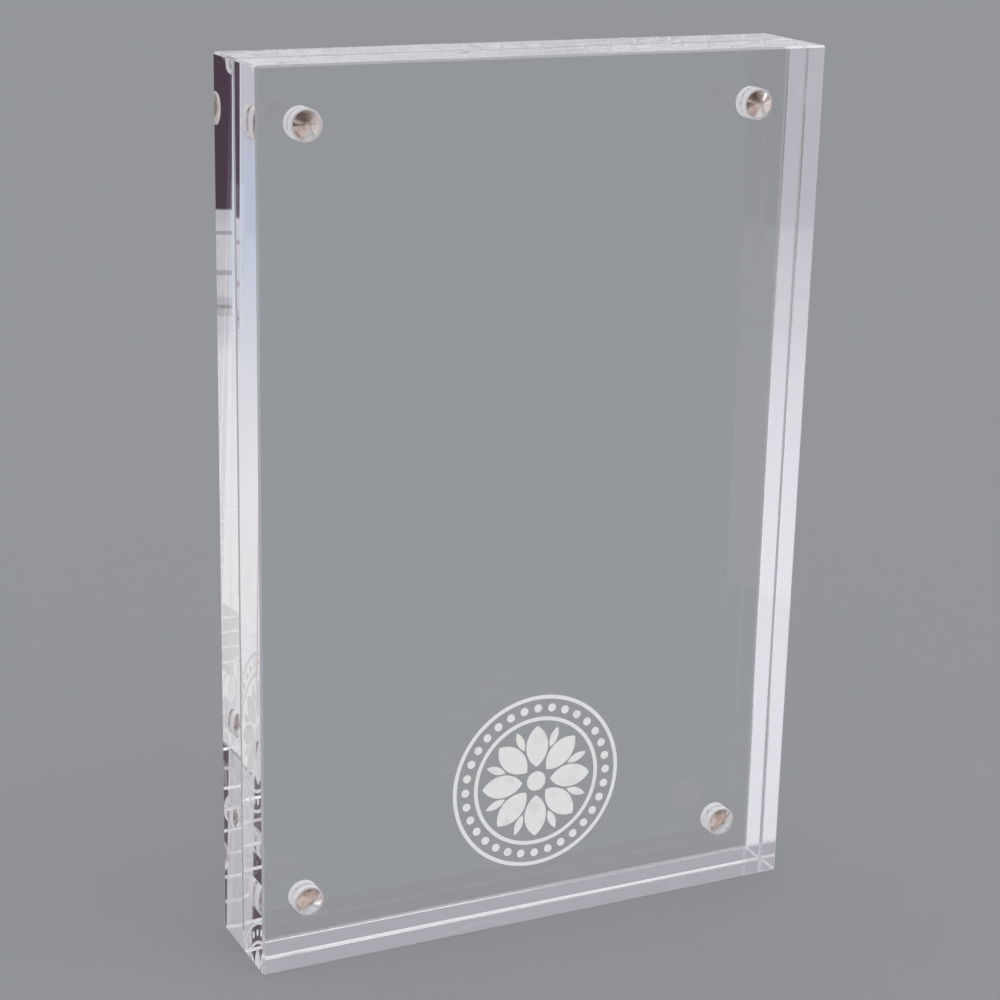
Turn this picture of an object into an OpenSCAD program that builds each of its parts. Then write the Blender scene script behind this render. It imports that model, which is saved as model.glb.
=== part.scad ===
// Acrylic block frame: two clear plates held face to face by four pairs of disc magnets.
// The origin is the middle of the base, in the plane where the plates meet.
// X runs along the width, Z runs up, and the front faces -Y.

/* [Plates] */
// Width of each plate, for a 4 inch print
plate_w = 101.6; // [80:0.1:260]
// Height of each plate, for a 6 inch print
plate_h = 152.4; // [90:0.1:260]
// Thickness of one plate, 3/8 inch sheet
plate_t = 9.525; // [7:0.025:20]
// Width of the polished bevel on every edge
edge_bevel = 0.35; // [0.1:0.05:1.5]
// Air gap that the magnets keep between the closed plates, where the print goes
print_gap = 0.1; // [0.04:0.02:0.6]

/* [Magnets] */
// Diameter of a disc magnet
magnet_d = 5; // [3:0.1:8]
// Thickness of a disc magnet
magnet_t = 2; // [1:0.1:4]
// Radius of the magnet's tumbled edge
magnet_round = 0.25; // [0.05:0.05:0.4]
// From a side edge of the plate to the centre of a magnet
magnet_side_inset = 10; // [7:0.5:30]
// From the top or bottom edge of the plate to the centre of a magnet
magnet_end_inset = 10; // [7:0.5:30]

/* [Magnet holes] */
// Free space between the inner end of a magnet and the shoulder of its hole
magnet_headroom = 0.35; // [0.1:0.05:1]
// Full angle of the drill point at the bottom of a hole
drill_point_angle = 118; // [100:1:170]
// Thickness of the adhesive ring round a magnet
glue_wall = 0.15; // [0.05:0.05:0.5]
// From the mouth of a hole in to the edge of the adhesive
glue_setback = 0.25; // [0.1:0.05:0.6]

/* [Printed ornament] */
// Overall diameter of the ornament on the front face
ornament_d = 32; // [16:0.5:44]
// Height of the ornament's centre above the base
ornament_z = 27; // [24:0.5:60]
// Thickness of the white ink
ink_t = 0.04; // [0.02:0.01:0.2]
// Number of large petals
petal_count = 8; // [4:1:12]
// Width of a large petal at its middle
petal_w = 4.2; // [2:0.1:7]
// Number of beads in the border
bead_count = 32; // [12:1:44]
// Diameter of a border bead
bead_d = 1.5; // [0.6:0.1:2]
// Width of the printed rings
ring_w = 0.7; // [0.3:0.1:1.5]
// Diameter of the flower's printed eye
eye_d = 3.6; // [2:0.1:5]
// Bare gap between neighbouring printed shapes
ink_gap = 0.9; // [0.3:0.1:1.5]

/* [Hidden] */
sides = ["front", "rear"];
corners = ["top_left", "top_right", "bottom_left", "bottom_right"];

clear_acrylic = [0.86, 0.89, 0.91, 0.35];
nickel = [0.62, 0.56, 0.53];
adhesive_white = [0.87, 0.86, 0.88];
ink_white = [0.96, 0.96, 0.96];
round_fn = 96;
ring_fn = 128;
// Extra length of a cutting solid past the face that it opens
cut_past = 1;

// Distance of a mating face from the plane where the magnets meet
mating_y = print_gap / 2;
front_face_y = -(mating_y + plate_t);
magnet_r = magnet_d / 2;
hole_r = magnet_r + glue_wall;
hole_end_y = magnet_t + magnet_headroom;
drill_point_h = hole_r / tan(drill_point_angle / 2);
magnet_x = plate_w / 2 - magnet_side_inset;
magnet_top_z = plate_h - magnet_end_inset;
magnet_bottom_z = magnet_end_inset;

// Places of the four magnets in the order of corners, seen from the front
places = [
    [-magnet_x, magnet_top_z],
    [magnet_x, magnet_top_z],
    [-magnet_x, magnet_bottom_z],
    [magnet_x, magnet_bottom_z],
];

// Radii that divide the ornament, from its border inwards, with the small leaves in the outer half
ornament_r = ornament_d / 2;
bead_ring_r = ornament_r - ring_w - ink_gap - bead_d / 2;
inner_ring_r = bead_ring_r - bead_d / 2 - ink_gap;
petal_tip_r = inner_ring_r - ring_w - ink_gap;
petal_root_r = eye_d / 2 + ink_gap;
leaf_root_r = (petal_root_r + petal_tip_r) / 2;

// A rectangle with its corners cut off at 45 degrees
module bevelled_rectangle(w, h, cut) {
    polygon([[cut, 0], [w - cut, 0], [w, cut], [w, h - cut],
        [w - cut, h], [cut, h], [0, h - cut], [0, cut]]);
}

// A box with the same bevel on all twelve edges, centred in X, from y = 0 back and z = 0 up
module bevelled_box(w, t, h, cut) {
    intersection() {
        translate([-w / 2, t, 0])
            rotate([90, 0, 0]) linear_extrude(height = t) bevelled_rectangle(w, h, cut);
        translate([-w / 2, 0, 0])
            linear_extrude(height = h) bevelled_rectangle(w, t, cut);
        translate([-w / 2, 0, 0])
            rotate([90, 0, 90]) linear_extrude(height = w) bevelled_rectangle(t, h, cut);
    }
}

// Turns a solid along +Z so that it runs along +Y from the seam, at one corner's place
module at_corner(index) {
    translate([places[index][0], 0, places[index][1]]) rotate([-90, 0, 0]) children();
}

// Everything here is drawn for the rear plate, and the front one mirrors it in the seam
module on_side(side) {
    if (side == "rear") children();
    else mirror([0, 1, 0]) children();
}

// A blind hole from the mating face, which ends in the cone that a twist drill leaves
module magnet_hole() {
    mouth = mating_y - cut_past;
    rotate_extrude($fn = ring_fn)
        polygon([[0, mouth], [hole_r, mouth], [hole_r, hole_end_y], [0, hole_end_y + drill_point_h]]);
}

module plate(side) {
    color(clear_acrylic) on_side(side) difference() {
        translate([0, mating_y, 0]) bevelled_box(plate_w, plate_t, plate_h, edge_bevel);
        for (index = [0 : len(corners) - 1]) at_corner(index) magnet_hole();
    }
}

module magnet(side, index) {
    flat_r = magnet_r - magnet_round;
    straight_t = magnet_t - 2 * magnet_round;
    color(nickel) on_side(side) at_corner(index) {
        translate([0, 0, magnet_round]) cylinder(r = magnet_r, h = straight_t, $fn = ring_fn);
        cylinder(r = flat_r, h = magnet_t, $fn = ring_fn);
        for (z = [magnet_round, magnet_t - magnet_round])
            translate([0, 0, z]) rotate_extrude($fn = ring_fn)
                translate([flat_r, 0]) circle(r = magnet_round, $fn = round_fn);
    }
}

module glue_ring(side, index) {
    ring_start = mating_y + glue_setback;
    color(adhesive_white) on_side(side) at_corner(index) difference() {
        translate([0, 0, ring_start]) cylinder(r = hole_r, h = hole_end_y - ring_start, $fn = ring_fn);
        translate([0, 0, ring_start - cut_past])
            cylinder(r = magnet_r, h = hole_end_y - ring_start + 2 * cut_past, $fn = ring_fn);
    }
}

module printed_ring(outer_r) {
    difference() {
        circle(r = outer_r, $fn = ring_fn);
        circle(r = outer_r - ring_w, $fn = ring_fn);
    }
}

// A pointed leaf along +Y made by two crossing circles
module leaf_shape(root_r, tip_r, width) {
    half_length = (tip_r - root_r) / 2;
    arc_r = (half_length * half_length + width * width / 4) / width;
    translate([0, root_r + half_length]) intersection() {
        translate([arc_r - width / 2, 0]) circle(r = arc_r, $fn = ring_fn);
        translate([width / 2 - arc_r, 0]) circle(r = arc_r, $fn = ring_fn);
    }
}

module ornament_outline() {
    petal_step = 360 / petal_count;
    printed_ring(ornament_r);
    printed_ring(inner_ring_r);
    circle(d = eye_d, $fn = round_fn);
    for (bead = [0 : bead_count - 1])
        rotate(bead * 360 / bead_count) translate([0, bead_ring_r]) circle(d = bead_d, $fn = 24);
    for (petal = [0 : petal_count - 1]) {
        rotate(petal * petal_step) leaf_shape(petal_root_r, petal_tip_r, petal_w);
        rotate((petal + 0.5) * petal_step) leaf_shape(leaf_root_r, petal_tip_r, petal_w / 3);
    }
}

module printed_ornament() {
    color(ink_white) translate([0, front_face_y, ornament_z])
        rotate([90, 0, 0]) linear_extrude(height = ink_t) ornament_outline();
}

for (side = sides) {
    plate(side);
    for (index = [0 : len(corners) - 1]) {
        magnet(side, index);
        glue_ring(side, index);
    }
}
printed_ornament();
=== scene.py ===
"""An acrylic block frame: two clear plates, held face to face by magnets, on a plain floor."""
import math

import bmesh
import bpy
from mathutils import Matrix, Vector


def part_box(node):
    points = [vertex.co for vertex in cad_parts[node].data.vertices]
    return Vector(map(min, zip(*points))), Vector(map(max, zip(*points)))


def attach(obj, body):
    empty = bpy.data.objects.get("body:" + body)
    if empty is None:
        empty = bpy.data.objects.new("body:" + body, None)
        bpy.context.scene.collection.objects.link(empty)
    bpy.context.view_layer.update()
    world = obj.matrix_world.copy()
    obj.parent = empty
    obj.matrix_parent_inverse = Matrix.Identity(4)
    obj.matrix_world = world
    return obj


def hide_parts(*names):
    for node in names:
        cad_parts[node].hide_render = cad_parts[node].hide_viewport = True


MM = 0.001
SIDES = ("front", "rear")
CORNERS = ("top_left", "top_right", "bottom_left", "bottom_right")

# Camera
LENS_MM = 85.57
SENSOR_MM = 36.0
CAMERA_AZIMUTH = -26.23
CAMERA_ELEVATION = 17.31
CAMERA_ROLL = 1.3
CAMERA_DISTANCE = 0.4069
CAMERA_TARGET = Vector((-0.00356, 0.0, 0.0760))

# Light can turn this often inside the plates before it leaves them
TURNS_IN_ACRYLIC = 32

# Colours of the studio, in linear light
BACKGROUND_GREY = (0.3020, 0.3110, 0.3245, 1.0)
CARD_NEAR = (0.206, 0.226, 0.240, 1.0)
CARD_FAR = (0.417, 0.443, 0.463, 1.0)
PLAIN_WHITE = (0.80, 0.80, 0.82, 1.0)
TABLE_WHITE = (0.84, 0.82, 0.835, 1.0)
TABLE_BRIGHT = (0.96, 0.94, 0.96, 1.0)
TABLE_BLUISH = (0.85, 0.855, 0.90, 1.0)
TABLE_GREY = (0.74, 0.73, 0.78, 1.0)
TABLE_LAVENDER = (0.54, 0.53, 0.585, 1.0)
LAVENDER_GREY = (0.47, 0.46, 0.505, 1.0)
PALE_BLUE = (0.68, 0.755, 0.90, 1.0)
BEHIND_FAR = (0.72, 0.71, 0.785, 1.0)
ROOM_BROWN = (0.075, 0.035, 0.030, 1.0)
ROOM_DEEP = (0.090, 0.062, 0.085, 1.0)
ROOM_LEFT = (0.05, 0.03, 0.05, 1.0)
LEFT_NEAR = (0.24, 0.23, 0.26, 1.0)
SIDE_BEIGE = (0.65, 0.53, 0.485, 1.0)
HORIZON_WHITE = (0.62, 0.62, 0.66, 1.0)
CEILING_WHITE = (0.86, 0.86, 0.89, 1.0)
CEILING_DEEP = (0.66, 0.65, 0.70, 1.0)

# Light and sky. Heights and sides are parts of a unit vector towards the sky
FLOOR_RADIUS = 8.0
FLOOR_DROP = 0.15 * MM
SKY_STRENGTH = 0.88
KEY_STRENGTH = 0.40
KEY_SPREAD = math.radians(40)
KEY_TURN = (math.radians(38), 0.0, math.radians(55))
HORIZON_HEIGHT = (0.14, 0.22)
LAVENDER_HEIGHT = (0.26, 0.52)
LAVENDER_BLUR = 0.03
FRONT_DARK_HEIGHT = (0.10, 0.17)
FRONT_DIRECTION = (-0.3, -0.4)
RIGHT_DIRECTION = (0.3, 0.4)
RIGHT_DEPTH = (-0.35, 0.35)
RIGHT_BLUR = 0.05
SEEN_SKY_HEIGHT = (0.15, 0.25)

# The mirrored table and room, with distances in metres and bearings in degrees from straight behind
TABLE_RADIUS = 0.62
TABLE_EDGE_BLUR = 0.004
TABLE_GREY_FROM = (0.34, 0.39)
# Marks across the table: distance from the block, half width, and darkness
TABLE_MARKS = ((0.565, 0.004, 0.5), (0.483, 0.005, 0.45), (0.4225, 0.016, 0.25), (0.4225, 0.003, 0.5))
MARK_BLUR = 0.002
BEARING_BLUR = 5
# On the left the table fades to lavender, and deep rays see it end. Off the outside, the left is a dark room
LEFT_BEARINGS = (-95, -5)
LEFT_FADE = (0.05, 0.75)
LEFT_END = (0.48, 0.52)
LEFT_GLOOM = (0.20, 0.50)
# Behind the block, deep rays see it fade to blue, and on to grey
BEHIND_BEARINGS = (0, 60)
BEHIND_FADE = (0.15, 0.60)
BEHIND_END = (0.70, 1.00)
RIGHT_BEARINGS = (65, 120)
RIGHT_FADE = (0.06, 0.12)
# A grey card lies before the block: where its two edges start, in x, and how fast they move to the right
CARD_EDGES = ((-0.075, 0.367), (0.065, 0.667))
# The table that the magnets mirror darkens over this distance, and the card lightens as much
FRONT_FADE = (0.55, 1.05)
# Nearly straight ahead of the block, that table darkens sooner
FRONT_GLOOM = (0.25, 0.36)
FRONT_GLOOM_BEARINGS = (169, 173)
# How much of the light goes on through the acrylic to the floor
SHADOW_CLEARNESS = 0.7

# Acrylic
ACRYLIC_TINT = (0.985, 0.988, 0.995, 1.0)
ACRYLIC_IOR = 1.49
# A normal this close to an axis belongs to a flat face and not to a bevel
FLAT_FACE = 0.9
BEVEL_ROUGHNESS = 0.22
BEVEL_HAZE = 0.10
RIPPLE_SCALE = 60.0
RIPPLE_HEIGHT = 0.006
# The sawn edges on the left lean a little, the front one to the back and the rear one to the front
SAW_LEAN = 0.025

# Drilled holes, with the drill point's height rounded up
DRILLED_MARGIN = 0.05 * MM
DRILL_POINT_HEIGHT = 1.8 * MM
DRILL_POINT_SLOPE = 1 / math.tan(math.radians(59))
DRILLED_ROUGHNESS = 0.06
DRILL_RIDGE_PITCH = 0.22 * MM
DRILL_RIDGE_HEIGHT = 0.012

# Magnets
NICKEL = (0.72, 0.59, 0.52, 1.0)
NICKEL_STAIN = (0.50, 0.37, 0.31, 1.0)
NICKEL_ROUGHNESS = 0.10
STAIN_ROUGHNESS = 0.10
STAIN_SCALE = 900.0
TURNED_RING_PITCH = 0.09 * MM

# Adhesive. The bond is how far glue and ink reach into what they stick to
BOND = 0.02 * MM
GLUE_STEPS = 96
GLUE_LIP = 0.33 * MM
GLUE_WANDER = 0.05 * MM
GLUE_WHITE = (0.94, 0.93, 0.95, 1.0)
# Painted shade, laid on the glue in bands along the drill's rings
GLUE_PAINTED_SHADE = (0.50, 0.46, 0.49, 1.0)
GLUE_BUBBLE = (0.45, 0.43, 0.45, 1.0)
GLUE_BAND_PITCH = 0.62 * MM
GLUE_BAND_WANDER = 0.35 * MM
GLUE_CLOUD_SCALE = 500.0
BUBBLE_SCALE = 2600.0

# Printed ornament
RING_POINTS = 128
EYE_POINTS = 64
BEAD_POINTS = 24
PETALS = 8
PETAL_WIDTH = 4.2 * MM
BEADS = 32
BEAD_RADIUS = 0.75 * MM
RING_WIDTH = 0.7 * MM
EYE_RADIUS = 1.8 * MM
INK_GAP = 0.9 * MM
INK_WHITE = (0.86, 0.86, 0.86, 1.0)
INK_THIN = (0.72, 0.72, 0.73, 1.0)
INK_CLOUD_SCALE = 380.0
SCREEN_PITCH = 0.18 * MM
# Painted shade on the ink's mirrored back: its greyer colours where the front plate mirrors it and where the
# rear one does
INK_DOUBLE_SHADE = (0.72, 0.72, 0.73, 1.0)
INK_FAR_DOUBLE_SHADE = (0.42, 0.42, 0.43, 1.0)


class Graph:
    """Builds a shader: constants and sockets go in, sockets come out."""

    def __init__(self, tree):
        self.nodes = tree.nodes
        self.links = tree.links
        self.nodes.clear()

    def put(self, socket, value):
        if isinstance(value, bpy.types.NodeSocket):
            self.links.new(value, socket)
        else:
            socket.default_value = value

    def node(self, kind, inputs=None, **settings):
        node = self.nodes.new(kind)
        for name, value in settings.items():
            setattr(node, name, value)
        for key, value in (inputs or {}).items():
            self.put(node.inputs[key], value)
        return node

    def math(self, operation, *values):
        node = self.nodes.new("ShaderNodeMath")
        node.operation = operation
        for socket, value in zip(node.inputs, values):
            self.put(socket, value)
        return node.outputs[0]

    def mix(self, factor, first, second):
        node = self.node("ShaderNodeMix", data_type="RGBA")
        for socket, value in ((node.inputs[0], factor), (node.inputs[6], first), (node.inputs[7], second)):
            self.put(socket, value)
        return node.outputs[2]

    def ramp(self, value, low, high):
        """0 below low, 1 above high, and a smooth rise between them."""
        node = self.node(
            "ShaderNodeMapRange",
            {"Value": value, "From Min": low, "From Max": high},
            interpolation_type="SMOOTHSTEP",
        )
        return node.outputs[0]

    def between(self, value, low, high, blur):
        rise = self.ramp(value, low - blur, low + blur)
        fall = self.ramp(value, high - blur, high + blur)
        return self.math("MULTIPLY", rise, self.math("SUBTRACT", 1.0, fall))

    def split(self, vector):
        return self.node("ShaderNodeSeparateXYZ", {"Vector": vector}).outputs

    def noise(self, scale, detail):
        coordinates = self.node("ShaderNodeTexCoord").outputs["Object"]
        inputs = {"Vector": coordinates, "Scale": scale, "Detail": detail}
        return self.node("ShaderNodeTexNoise", inputs).outputs[0]


def ray_kinds(graph):
    """Masks for a view's rays: straight or through the plates, in gleams, and deep in the glass.

    Light that falls on dull surfaces is in neither of the first two, so it stays plain white.
    """
    path = graph.node("ShaderNodeLightPath").outputs
    undiffused = graph.math("LESS_THAN", path["Diffuse Depth"], 0.5)
    unturned = graph.math("LESS_THAN", path["Glossy Depth"], 0.5)
    clear = graph.math("MULTIPLY", path["Is Transmission Ray"], unturned)
    clear = graph.math("MULTIPLY", clear, undiffused)
    straight = graph.math("MAXIMUM", path["Is Camera Ray"], clear)
    gleam = graph.math("MAXIMUM", path["Is Glossy Ray"], path["Is Transmission Ray"])
    gleam = graph.math("MULTIPLY", gleam, undiffused)
    deep = graph.math("GREATER_THAN", path["Glossy Depth"], 3.5)
    return straight, gleam, deep


def mirror_kinds(graph, deep):
    """Masks for gleams: off the outside of the plates, and off what lies in the glass, as the magnets do."""
    path = graph.node("ShaderNodeLightPath").outputs
    outside = graph.math("LESS_THAN", path["Transmission Depth"], 0.5)
    magnet = graph.math("COMPARE", path["Transmission Depth"], 4.0, 0.5)
    magnet = graph.math("MULTIPLY", magnet, graph.math("SUBTRACT", 1.0, deep))
    return outside, magnet


def new_material(name):
    material = bpy.data.materials.new(name)
    material.use_nodes = True
    graph = Graph(material.node_tree)
    output = graph.node("ShaderNodeOutputMaterial")
    return material, graph, output


def set_camera():
    azimuth = math.radians(CAMERA_AZIMUTH)
    elevation = math.radians(CAMERA_ELEVATION)
    back = Vector((
        math.sin(azimuth) * math.cos(elevation),
        -math.cos(azimuth) * math.cos(elevation),
        math.sin(elevation),
    ))
    right = (-back).cross(Vector((0, 0, 1))).normalized()
    up = right.cross(-back)
    turn = Matrix((right, up, back)).transposed().to_4x4()
    data = bpy.data.cameras.new("camera")
    data.lens = LENS_MM
    data.sensor_width = SENSOR_MM
    data.clip_start = 0.01
    data.clip_end = 50
    camera = bpy.data.objects.new("camera", data)
    camera.matrix_world = (
        Matrix.Translation(CAMERA_TARGET + back * CAMERA_DISTANCE)
        @ turn
        @ Matrix.Rotation(math.radians(CAMERA_ROLL), 4, "Z")
    )
    bpy.context.scene.collection.objects.link(camera)
    bpy.context.scene.camera = camera


def set_bounces():
    cycles = bpy.context.scene.cycles
    cycles.max_bounces = TURNS_IN_ACRYLIC
    cycles.glossy_bounces = TURNS_IN_ACRYLIC
    cycles.transmission_bounces = TURNS_IN_ACRYLIC


def set_world():
    """A white sky. Gleams show it with a lavender band, a beige right side and a dark room to the front."""
    world = bpy.data.worlds.new("studio")
    world.use_nodes = True
    graph = Graph(world.node_tree)
    output = graph.node("ShaderNodeOutputWorld")
    straight, gleam, deep = ray_kinds(graph)
    x, y, z = graph.split(graph.node("ShaderNodeTexCoord").outputs["Generated"])
    band = graph.between(z, *LAVENDER_HEIGHT, LAVENDER_BLUR)
    room = graph.mix(graph.ramp(z, *HORIZON_HEIGHT), HORIZON_WHITE, CEILING_WHITE)
    room = graph.mix(band, room, LAVENDER_GREY)
    room = graph.mix(deep, room, CEILING_DEEP)
    upper_front = graph.mix(graph.ramp(z, *FRONT_DARK_HEIGHT), CEILING_WHITE, ROOM_BROWN)
    front = graph.mix(deep, upper_front, ROOM_DEEP)
    room = graph.mix(graph.ramp(y, *FRONT_DIRECTION), room, front)
    beside = graph.between(y, *RIGHT_DEPTH, RIGHT_BLUR)
    right = graph.math("MULTIPLY", graph.ramp(x, *RIGHT_DIRECTION), beside)
    room = graph.mix(right, room, SIDE_BEIGE)
    seen = graph.mix(graph.ramp(z, *SEEN_SKY_HEIGHT), BACKGROUND_GREY, CEILING_WHITE)
    plain = (SKY_STRENGTH, SKY_STRENGTH, SKY_STRENGTH, 1.0)
    colour = graph.mix(straight, graph.mix(gleam, plain, room), seen)
    light = graph.node("ShaderNodeBackground", {"Color": colour, "Strength": 1.0})
    graph.links.new(light.outputs[0], output.inputs[0])
    bpy.context.scene.world = world


def slanted_edge(graph, x, y, start, slope):
    """1 to the right of a line on the floor that starts at x = start and runs right towards the front."""
    return graph.math("GREATER_THAN", graph.math("ADD", x, graph.math("MULTIPLY", y, slope)), start)


def floor_material():
    """Grey where it is seen, and a pale table in a darker room where the block mirrors it."""
    material, graph, output = new_material("floor")
    straight, gleam, deep = ray_kinds(graph)
    outside, magnet = mirror_kinds(graph, deep)
    x, y, _ = graph.split(graph.node("ShaderNodeNewGeometry").outputs["Position"])
    bearing = graph.math("DEGREES", graph.math("ARCTAN2", x, y))
    squares = graph.math("ADD", graph.math("MULTIPLY", x, x), graph.math("MULTIPLY", y, y))
    radius = graph.math("SQRT", squares)
    front = graph.ramp(y, 0.0, -0.01)

    near_white = graph.mix(deep, TABLE_WHITE, TABLE_BRIGHT)
    table = graph.mix(graph.ramp(radius, *TABLE_GREY_FROM), near_white, TABLE_GREY)
    for distance, half_width, darkness in TABLE_MARKS:
        mark = graph.between(radius, distance - half_width, distance + half_width, MARK_BLUR)
        table = graph.mix(graph.math("MULTIPLY", mark, darkness), table, ROOM_DEEP)
    off_table = graph.ramp(radius, TABLE_RADIUS - TABLE_EDGE_BLUR, TABLE_RADIUS + TABLE_EDGE_BLUR)
    table = graph.mix(off_table, table, graph.mix(deep, ROOM_BROWN, ROOM_DEEP))
    room = graph.mix(front, graph.mix(deep, TABLE_BLUISH, TABLE_BRIGHT), table)

    left_side = graph.between(bearing, *LEFT_BEARINGS, BEARING_BLUR)
    left = graph.math("MULTIPLY", left_side, graph.ramp(radius, *LEFT_FADE))
    room = graph.mix(left, room, TABLE_LAVENDER)
    past_left_end = graph.math("MULTIPLY", graph.ramp(radius, *LEFT_END), deep)
    room = graph.mix(graph.math("MULTIPLY", left_side, past_left_end), room, ROOM_LEFT)
    dark_left = graph.mix(graph.ramp(radius, *LEFT_GLOOM), LEFT_NEAR, ROOM_LEFT)
    room = graph.mix(graph.math("MULTIPLY", left_side, outside), room, dark_left)

    behind_side = graph.math("MULTIPLY", graph.between(bearing, *BEHIND_BEARINGS, BEARING_BLUR), deep)
    behind = graph.mix(graph.ramp(radius, *BEHIND_END), PALE_BLUE, BEHIND_FAR)
    room = graph.mix(graph.math("MULTIPLY", behind_side, graph.ramp(radius, *BEHIND_FADE)), room, behind)
    right_side = graph.between(bearing, *RIGHT_BEARINGS, BEARING_BLUR)
    right = graph.math("MULTIPLY", right_side, graph.ramp(radius, *RIGHT_FADE))
    room = graph.mix(right, room, SIDE_BEIGE)

    far_front = graph.ramp(radius, *FRONT_FADE)
    left_edge, right_edge = (slanted_edge(graph, x, y, *edge) for edge in CARD_EDGES)
    on_card = graph.math("MULTIPLY", left_edge, graph.math("SUBTRACT", 1.0, right_edge))
    on_card = graph.math("MULTIPLY", on_card, graph.math("SUBTRACT", 1.0, deep))
    room = graph.mix(graph.math("MULTIPLY", on_card, front), room, graph.mix(far_front, CARD_NEAR, CARD_FAR))
    ahead = graph.ramp(graph.math("ABSOLUTE", bearing), *FRONT_GLOOM_BEARINGS)
    gloom = graph.math("MULTIPLY", ahead, graph.ramp(radius, *FRONT_GLOOM))
    mirrored_table = graph.mix(graph.math("MAXIMUM", far_front, gloom), TABLE_WHITE, ROOM_BROWN)
    room = graph.mix(graph.math("MULTIPLY", magnet, front), room, mirrored_table)

    colour = graph.mix(straight, graph.mix(gleam, PLAIN_WHITE, room), BACKGROUND_GREY)
    surface = graph.node("ShaderNodeBsdfDiffuse", {"Color": colour})
    graph.links.new(surface.outputs[0], output.inputs[0])
    return material


def make_floor():
    mesh = bpy.data.meshes.new("floor")
    shape = bmesh.new()
    bmesh.ops.create_circle(shape, cap_ends=True, segments=96, radius=FLOOR_RADIUS)
    bmesh.ops.translate(shape, verts=shape.verts, vec=(0, 0, -FLOOR_DROP))
    shape.to_mesh(mesh)
    shape.free()
    mesh.materials.append(floor_material())
    floor = bpy.data.objects.new("floor", mesh)
    bpy.context.scene.collection.objects.link(floor)


def make_lights():
    data = bpy.data.lights.new("key", "SUN")
    data.energy = KEY_STRENGTH
    data.angle = KEY_SPREAD
    key = bpy.data.objects.new("key", data)
    key.rotation_euler = KEY_TURN
    bpy.context.scene.collection.objects.link(key)


def hole_place(graph):
    """Distance from the nearest magnet's axis, and distance from the seam.

    The four axes are mirror images, so the coordinates fold onto one of them.
    """
    at = graph.split(graph.node("ShaderNodeTexCoord").outputs["Object"])
    across = graph.math("SUBTRACT", graph.math("ABSOLUTE", at[0]), magnet_x)
    middle_z = (magnet_top_z + magnet_bottom_z) / 2
    folded_z = graph.math("ABSOLUTE", graph.math("SUBTRACT", at[2], middle_z))
    up = graph.math("SUBTRACT", folded_z, magnet_top_z - middle_z)
    squares = graph.math("ADD", graph.math("MULTIPLY", across, across), graph.math("MULTIPLY", up, up))
    return graph.math("SQRT", squares), graph.math("ABSOLUTE", at[1])


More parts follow.
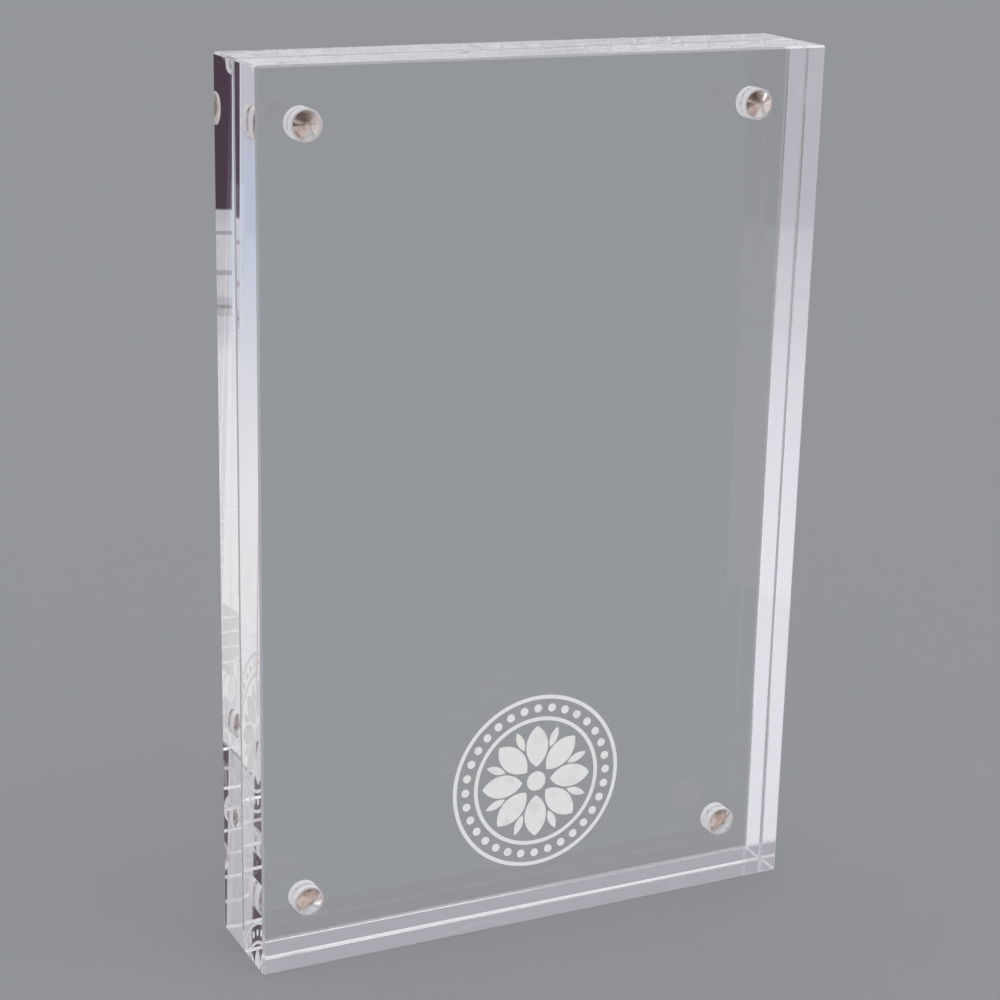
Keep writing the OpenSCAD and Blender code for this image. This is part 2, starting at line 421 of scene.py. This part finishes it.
def acrylic_material():
    """Clear and polished, with hazy bevels, rippled sawn edges and frosted rings in the drilled holes.

    Light reaches what is set in it straight, so that the glue and the ink are as white as they are outside.
    """
    material, graph, output = new_material("clear_acrylic")
    radius, depth = hole_place(graph)
    near_axis = graph.math("LESS_THAN", radius, hole_radius + DRILLED_MARGIN)
    near_seam = graph.math("LESS_THAN", depth, hole_depth + DRILL_POINT_HEIGHT)
    drilled = graph.math("MULTIPLY", near_axis, near_seam)

    coordinates = graph.node("ShaderNodeTexCoord").outputs
    nx, ny, nz = graph.split(coordinates["Normal"])
    flatness = [graph.math("ABSOLUTE", part) for part in (nx, ny, nz)]
    largest = graph.math("MAXIMUM", graph.math("MAXIMUM", flatness[0], flatness[1]), flatness[2])
    slanted = graph.math("LESS_THAN", largest, FLAT_FACE)
    bevel = graph.math("MULTIPLY", slanted, graph.math("SUBTRACT", 1.0, drilled))
    edge = graph.math("LESS_THAN", flatness[1], FLAT_FACE)
    ripple = graph.node("ShaderNodeTexNoise", {
        "Vector": coordinates["Object"], "Scale": RIPPLE_SCALE, "Detail": 2.0,
    })
    ripple = graph.math("MULTIPLY", graph.math("MULTIPLY", ripple.outputs[0], edge), RIPPLE_HEIGHT)
    ridge = graph.math("SINE", graph.math("MULTIPLY", radius, 2 * math.pi / DRILL_RIDGE_PITCH))
    ridge = graph.math("MULTIPLY", graph.math("MULTIPLY", ridge, drilled), DRILL_RIDGE_HEIGHT)
    height = graph.math("ADD", ripple, ridge)
    bump = graph.node("ShaderNodeBump", {"Height": height, "Strength": 0.5, "Distance": MM})
    drilled_rough = graph.math("MULTIPLY", drilled, DRILLED_ROUGHNESS)
    rough = graph.math("MAXIMUM", drilled_rough, graph.math("MULTIPLY", bevel, BEVEL_ROUGHNESS))

    backfacing = graph.node("ShaderNodeNewGeometry").outputs["Backfacing"]
    outward = graph.math("SUBTRACT", 1.0, graph.math("MULTIPLY", backfacing, 2.0))
    left_edge = graph.math("LESS_THAN", graph.math("MULTIPLY", nx, outward), -FLAT_FACE)
    plate_side = graph.math("SIGN", graph.split(coordinates["Object"])[1])
    towards_seam = graph.math("MULTIPLY", plate_side, -SAW_LEAN)
    lean = graph.math("MULTIPLY", graph.math("MULTIPLY", towards_seam, outward), left_edge)
    leaning = graph.node("ShaderNodeVectorMath", {
        0: bump.outputs[0], 1: graph.node("ShaderNodeCombineXYZ", {"Y": lean}).outputs[0],
    }, operation="ADD")

    clearness = graph.math("SUBTRACT", 1.0, graph.math("MULTIPLY", bevel, BEVEL_HAZE))
    # The weight starts at 1, which is what the export takes for clear glass
    glass = graph.node("ShaderNodeBsdfPrincipled", {
        "Base Color": ACRYLIC_TINT,
        "Roughness": rough,
        "IOR": ACRYLIC_IOR,
        "Transmission Weight": 1.0,
        "Normal": leaning.outputs[0],
    })
    graph.links.new(clearness, glass.inputs["Transmission Weight"])
    path = graph.node("ShaderNodeLightPath").outputs
    inside = graph.math("GREATER_THAN", path["Transmission Depth"], 0.5)
    passed = graph.math("MAXIMUM", inside, SHADOW_CLEARNESS)
    clear = graph.node("ShaderNodeBsdfTransparent")
    lit_through = graph.node("ShaderNodeMixShader", {
        0: passed, 1: glass.outputs[0], 2: clear.outputs[0],
    })
    surface = glass
    for ray in ("Is Diffuse Ray", "Is Shadow Ray"):
        surface = graph.node("ShaderNodeMixShader", {
            0: path[ray], 1: surface.outputs[0], 2: lit_through.outputs[0],
        })
    graph.links.new(surface.outputs[0], output.inputs[0])
    return material


def nickel_material():
    """Worn nickel plate, turned in fine rings, with brown stains."""
    material, graph, output = new_material("nickel_plate")
    radius, _ = hole_place(graph)
    stain = graph.noise(STAIN_SCALE, 5.0)
    stained = graph.ramp(stain, 0.42, 0.66)
    colour = graph.mix(stained, NICKEL, NICKEL_STAIN)
    ring = graph.math("SINE", graph.math("MULTIPLY", radius, 2 * math.pi / TURNED_RING_PITCH))
    bump = graph.node("ShaderNodeBump", {"Height": ring, "Strength": 0.15, "Distance": 0.01 * MM})
    metal = graph.node("ShaderNodeBsdfPrincipled", {
        "Base Color": colour,
        "Metallic": 1.0,
        "Roughness": graph.math("ADD", NICKEL_ROUGHNESS, graph.math("MULTIPLY", stained, STAIN_ROUGHNESS)),
        "Normal": bump.outputs[0],
    })
    graph.links.new(metal.outputs[0], output.inputs[0])
    return material


def adhesive_material():
    """White glue pressed into the rings that the drill left, with painted shade in grey bands along the
    rings, and bubbles.
    """
    material, graph, output = new_material("adhesive")
    _, depth = hole_place(graph)
    coordinates = graph.node("ShaderNodeTexCoord").outputs["Object"]
    wander = graph.math("MULTIPLY", graph.noise(GLUE_CLOUD_SCALE, 3.0), GLUE_BAND_WANDER)
    wavy_depth = graph.math("ADD", depth, wander)
    band = graph.math("SINE", graph.math("MULTIPLY", wavy_depth, 2 * math.pi / GLUE_BAND_PITCH))
    # Painted shade: grey bands that follow the drill's rings
    painted_shade = graph.ramp(band, -0.3, 0.9)
    bubble = graph.node("ShaderNodeTexVoronoi", {"Vector": coordinates, "Scale": BUBBLE_SCALE})
    bubble = bubble.outputs["Distance"]
    colour = graph.mix(graph.math("MULTIPLY", painted_shade, 0.8), GLUE_WHITE, GLUE_PAINTED_SHADE)
    bubbly = graph.math("MULTIPLY", graph.math("LESS_THAN", bubble, 0.12), 0.5)
    colour = graph.mix(bubbly, colour, GLUE_BUBBLE)
    bump = graph.node("ShaderNodeBump", {"Height": band, "Strength": 0.3, "Distance": 0.02 * MM})
    glue = graph.node("ShaderNodeBsdfPrincipled", {
        "Base Color": colour, "Roughness": 0.45, "Normal": bump.outputs[0],
    })
    graph.links.new(glue.outputs[0], output.inputs[0])
    return material


def ink_material():
    """Screen-printed white ink, a little uneven, with the faint weave of the screen.

    The plates mirror its back, and these doubles get painted shade: greyer than the ink, most of all in the
    rear plate.
    """
    material, graph, output = new_material("white_ink")
    coordinates = graph.node("ShaderNodeTexCoord").outputs
    x, _, z = graph.split(coordinates["Object"])
    threads = 2 * math.pi / SCREEN_PITCH
    warp, weft = (graph.math("SINE", graph.math("MULTIPLY", part, threads)) for part in (x, z))
    weave = graph.math("ADD", warp, weft)
    cloud = graph.noise(INK_CLOUD_SCALE, 4.0)
    thin = graph.ramp(cloud, 0.52, 0.75)
    colour = graph.mix(graph.math("MULTIPLY", thin, 0.6), INK_WHITE, INK_THIN)
    back = graph.math("GREATER_THAN", graph.split(coordinates["Normal"])[1], 0.5)
    path = graph.node("ShaderNodeLightPath").outputs
    # Painted shade: where a plate mirrors the ink's back, it shows greyer, the more so in the rear plate
    rear_plate = graph.math("COMPARE", path["Transmission Depth"], 4.0, 1.5)
    double_shade = graph.math("MULTIPLY", back, graph.math("COMPARE", path["Glossy Depth"], 1.0, 0.5))
    colour = graph.mix(double_shade, colour, graph.mix(rear_plate, INK_DOUBLE_SHADE, INK_FAR_DOUBLE_SHADE))
    bump = graph.node("ShaderNodeBump", {"Height": weave, "Strength": 0.2, "Distance": 0.004 * MM})
    ink = graph.node("ShaderNodeBsdfPrincipled", {
        "Base Color": colour,
        "Roughness": graph.math("ADD", 0.42, graph.math("MULTIPLY", cloud, 0.2)),
        "Normal": bump.outputs[0],
    })
    graph.links.new(ink.outputs[0], output.inputs[0])
    return material


def add_piece(name, shape, material, body, replaced):
    bmesh.ops.recalc_face_normals(shape, faces=shape.faces)
    mesh = bpy.data.meshes.new(name)
    shape.to_mesh(mesh)
    shape.free()
    mesh.materials.append(material)
    piece = bpy.data.objects.new(name, mesh)
    bpy.context.scene.collection.objects.link(piece)
    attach(piece, body)
    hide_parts(replaced)


def dress(node, material):
    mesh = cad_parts[node].data
    mesh.materials.clear()
    mesh.materials.append(material)


def glue_ring(side, corner, material):
    """A ring of glue round a magnet, with uneven ends, that laps a little onto the drilled cone."""
    low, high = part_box(f"{side}_magnet_{corner}")
    axis = (low + high) / 2
    magnet_radius = (high.x - low.x) / 2
    outward = -1 if side == "front" else 1
    phase = 1.7 * (SIDES.index(side) * len(CORNERS) + CORNERS.index(corner))
    shape = bmesh.new()
    loops = []
    for step in range(GLUE_STEPS):
        angle = 2 * math.pi * step / GLUE_STEPS
        ragged = GLUE_WANDER * (math.sin(3 * angle + phase) + 0.6 * math.sin(7 * angle + 2 * phase))
        lip = GLUE_LIP + GLUE_WANDER * math.sin(2 * angle + phase)
        mouth = glue_mouth + GLUE_WANDER + ragged / 2
        profile = (
            (magnet_radius - BOND, mouth),
            (hole_radius + BOND, mouth + GLUE_WANDER),
            (hole_radius + BOND, hole_depth + BOND),
            (hole_radius - lip, hole_depth + lip * DRILL_POINT_SLOPE + BOND),
            (hole_radius - lip, hole_depth + lip * DRILL_POINT_SLOPE - 3 * BOND),
            (magnet_radius - BOND, hole_depth - lip),
        )
        loops.append([
            shape.verts.new((axis.x + r * math.sin(angle), outward * d, axis.z + r * math.cos(angle)))
            for r, d in profile
        ])
    for step, loop in enumerate(loops):
        following = loops[(step + 1) % GLUE_STEPS]
        for i in range(len(loop)):
            j = (i + 1) % len(loop)
            shape.faces.new((loop[i], loop[j], following[j], following[i])).smooth = True
    add_piece(f"{side}_adhesive_{corner}", shape, material, side, f"{side}_glue_{corner}")


def circle(radius, points, centre=(0.0, 0.0)):
    turn = 2 * math.pi / points
    angles = [i * turn for i in range(points)]
    return [(centre[0] + radius * math.sin(a), centre[1] + radius * math.cos(a)) for a in angles]


def leaf(root, tip, width, direction, points=24):
    """The outline of a pointed leaf between two radii, made by two arcs."""
    half = (tip - root) / 2
    arc = (half * half + width * width / 4) / width
    outline = []
    for sign in (1, -1):
        for i in range(points):
            along = -sign * half * math.cos(math.pi * i / points)
            across = sign * (math.sqrt(arc * arc - along * along) - arc + width / 2)
            outline.append((across, root + half + along))
    turn = Matrix.Rotation(-direction, 2)
    return [tuple(turn @ Vector(point)) for point in outline]


def printed_shape(shape, centre, front_y, back_y, outline, hole=None):
    """A flat piece of ink between two depths. A hole, with as many points as the outline, makes a ring."""
    rims = []
    for points in filter(None, (outline, hole)):
        for y in (front_y, back_y):
            rims.append([shape.verts.new((centre[0] + x, y, centre[1] + z)) for x, z in points])
    count = len(outline)
    walls = [(rims[0], rims[1])]
    if hole is None:
        shape.faces.new(rims[0])
        shape.faces.new(rims[1])
    else:
        walls += [(rims[2], rims[3]), (rims[0], rims[2]), (rims[1], rims[3])]
    for first, second in walls:
        for i in range(count):
            j = (i + 1) % count
            shape.faces.new((first[i], first[j], second[j], second[i]))


def printed_ornament(material):
    """The white rosette in its beaded border, with its back bonded a hair deep into the acrylic."""
    low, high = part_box("printed_ornament")
    centre = ((low.x + high.x) / 2, (low.z + high.z) / 2)
    depths = (low.y, high.y + BOND)
    outer = (high.x - low.x) / 2
    bead_ring = outer - RING_WIDTH - INK_GAP - BEAD_RADIUS
    inner = bead_ring - BEAD_RADIUS - INK_GAP
    tip = inner - RING_WIDTH - INK_GAP
    root = EYE_RADIUS + INK_GAP
    step = 2 * math.pi / PETALS
    shape = bmesh.new()
    for radius in (outer, inner):
        hole = circle(radius - RING_WIDTH, RING_POINTS)
        printed_shape(shape, centre, *depths, circle(radius, RING_POINTS), hole)
    printed_shape(shape, centre, *depths, circle(EYE_RADIUS, EYE_POINTS))
    for spot in circle(bead_ring, BEADS):
        printed_shape(shape, centre, *depths, circle(BEAD_RADIUS, BEAD_POINTS, spot))
    leaf_root = (root + tip) / 2
    for petal in range(PETALS):
        printed_shape(shape, centre, *depths, leaf(root, tip, PETAL_WIDTH, petal * step))
        printed_shape(shape, centre, *depths, leaf(leaf_root, tip, PETAL_WIDTH / 3, (petal + 0.5) * step))
    add_piece("ink_ornament", shape, material, "front", "printed_ornament")


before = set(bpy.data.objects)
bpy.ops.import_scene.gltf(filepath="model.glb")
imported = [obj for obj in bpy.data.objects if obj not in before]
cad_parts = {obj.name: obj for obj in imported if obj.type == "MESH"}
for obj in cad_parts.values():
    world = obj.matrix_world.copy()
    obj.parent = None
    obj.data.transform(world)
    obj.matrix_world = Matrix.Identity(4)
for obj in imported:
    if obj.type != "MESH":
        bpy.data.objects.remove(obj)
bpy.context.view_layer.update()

magnet_low, magnet_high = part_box("front_magnet_top_right")
glue_low, glue_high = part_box("front_glue_top_right")
magnet_x = (magnet_low.x + magnet_high.x) / 2
magnet_top_z = (magnet_low.z + magnet_high.z) / 2
magnet_bottom_z = sum(corner.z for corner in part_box("front_magnet_bottom_right")) / 2
hole_radius = (glue_high.x - glue_low.x) / 2
hole_depth = -glue_low.y
glue_mouth = -glue_high.y

set_camera()
set_bounces()
set_world()
make_floor()
make_lights()

acrylic = acrylic_material()
nickel = nickel_material()
adhesive = adhesive_material()
for side in SIDES:
    dress(f"{side}_plate", acrylic)
    for corner in CORNERS:
        dress(f"{side}_magnet_{corner}", nickel)
        glue_ring(side, corner, adhesive)
printed_ornament(ink_material())

bpy.context.scene.view_settings.view_transform = "Standard"
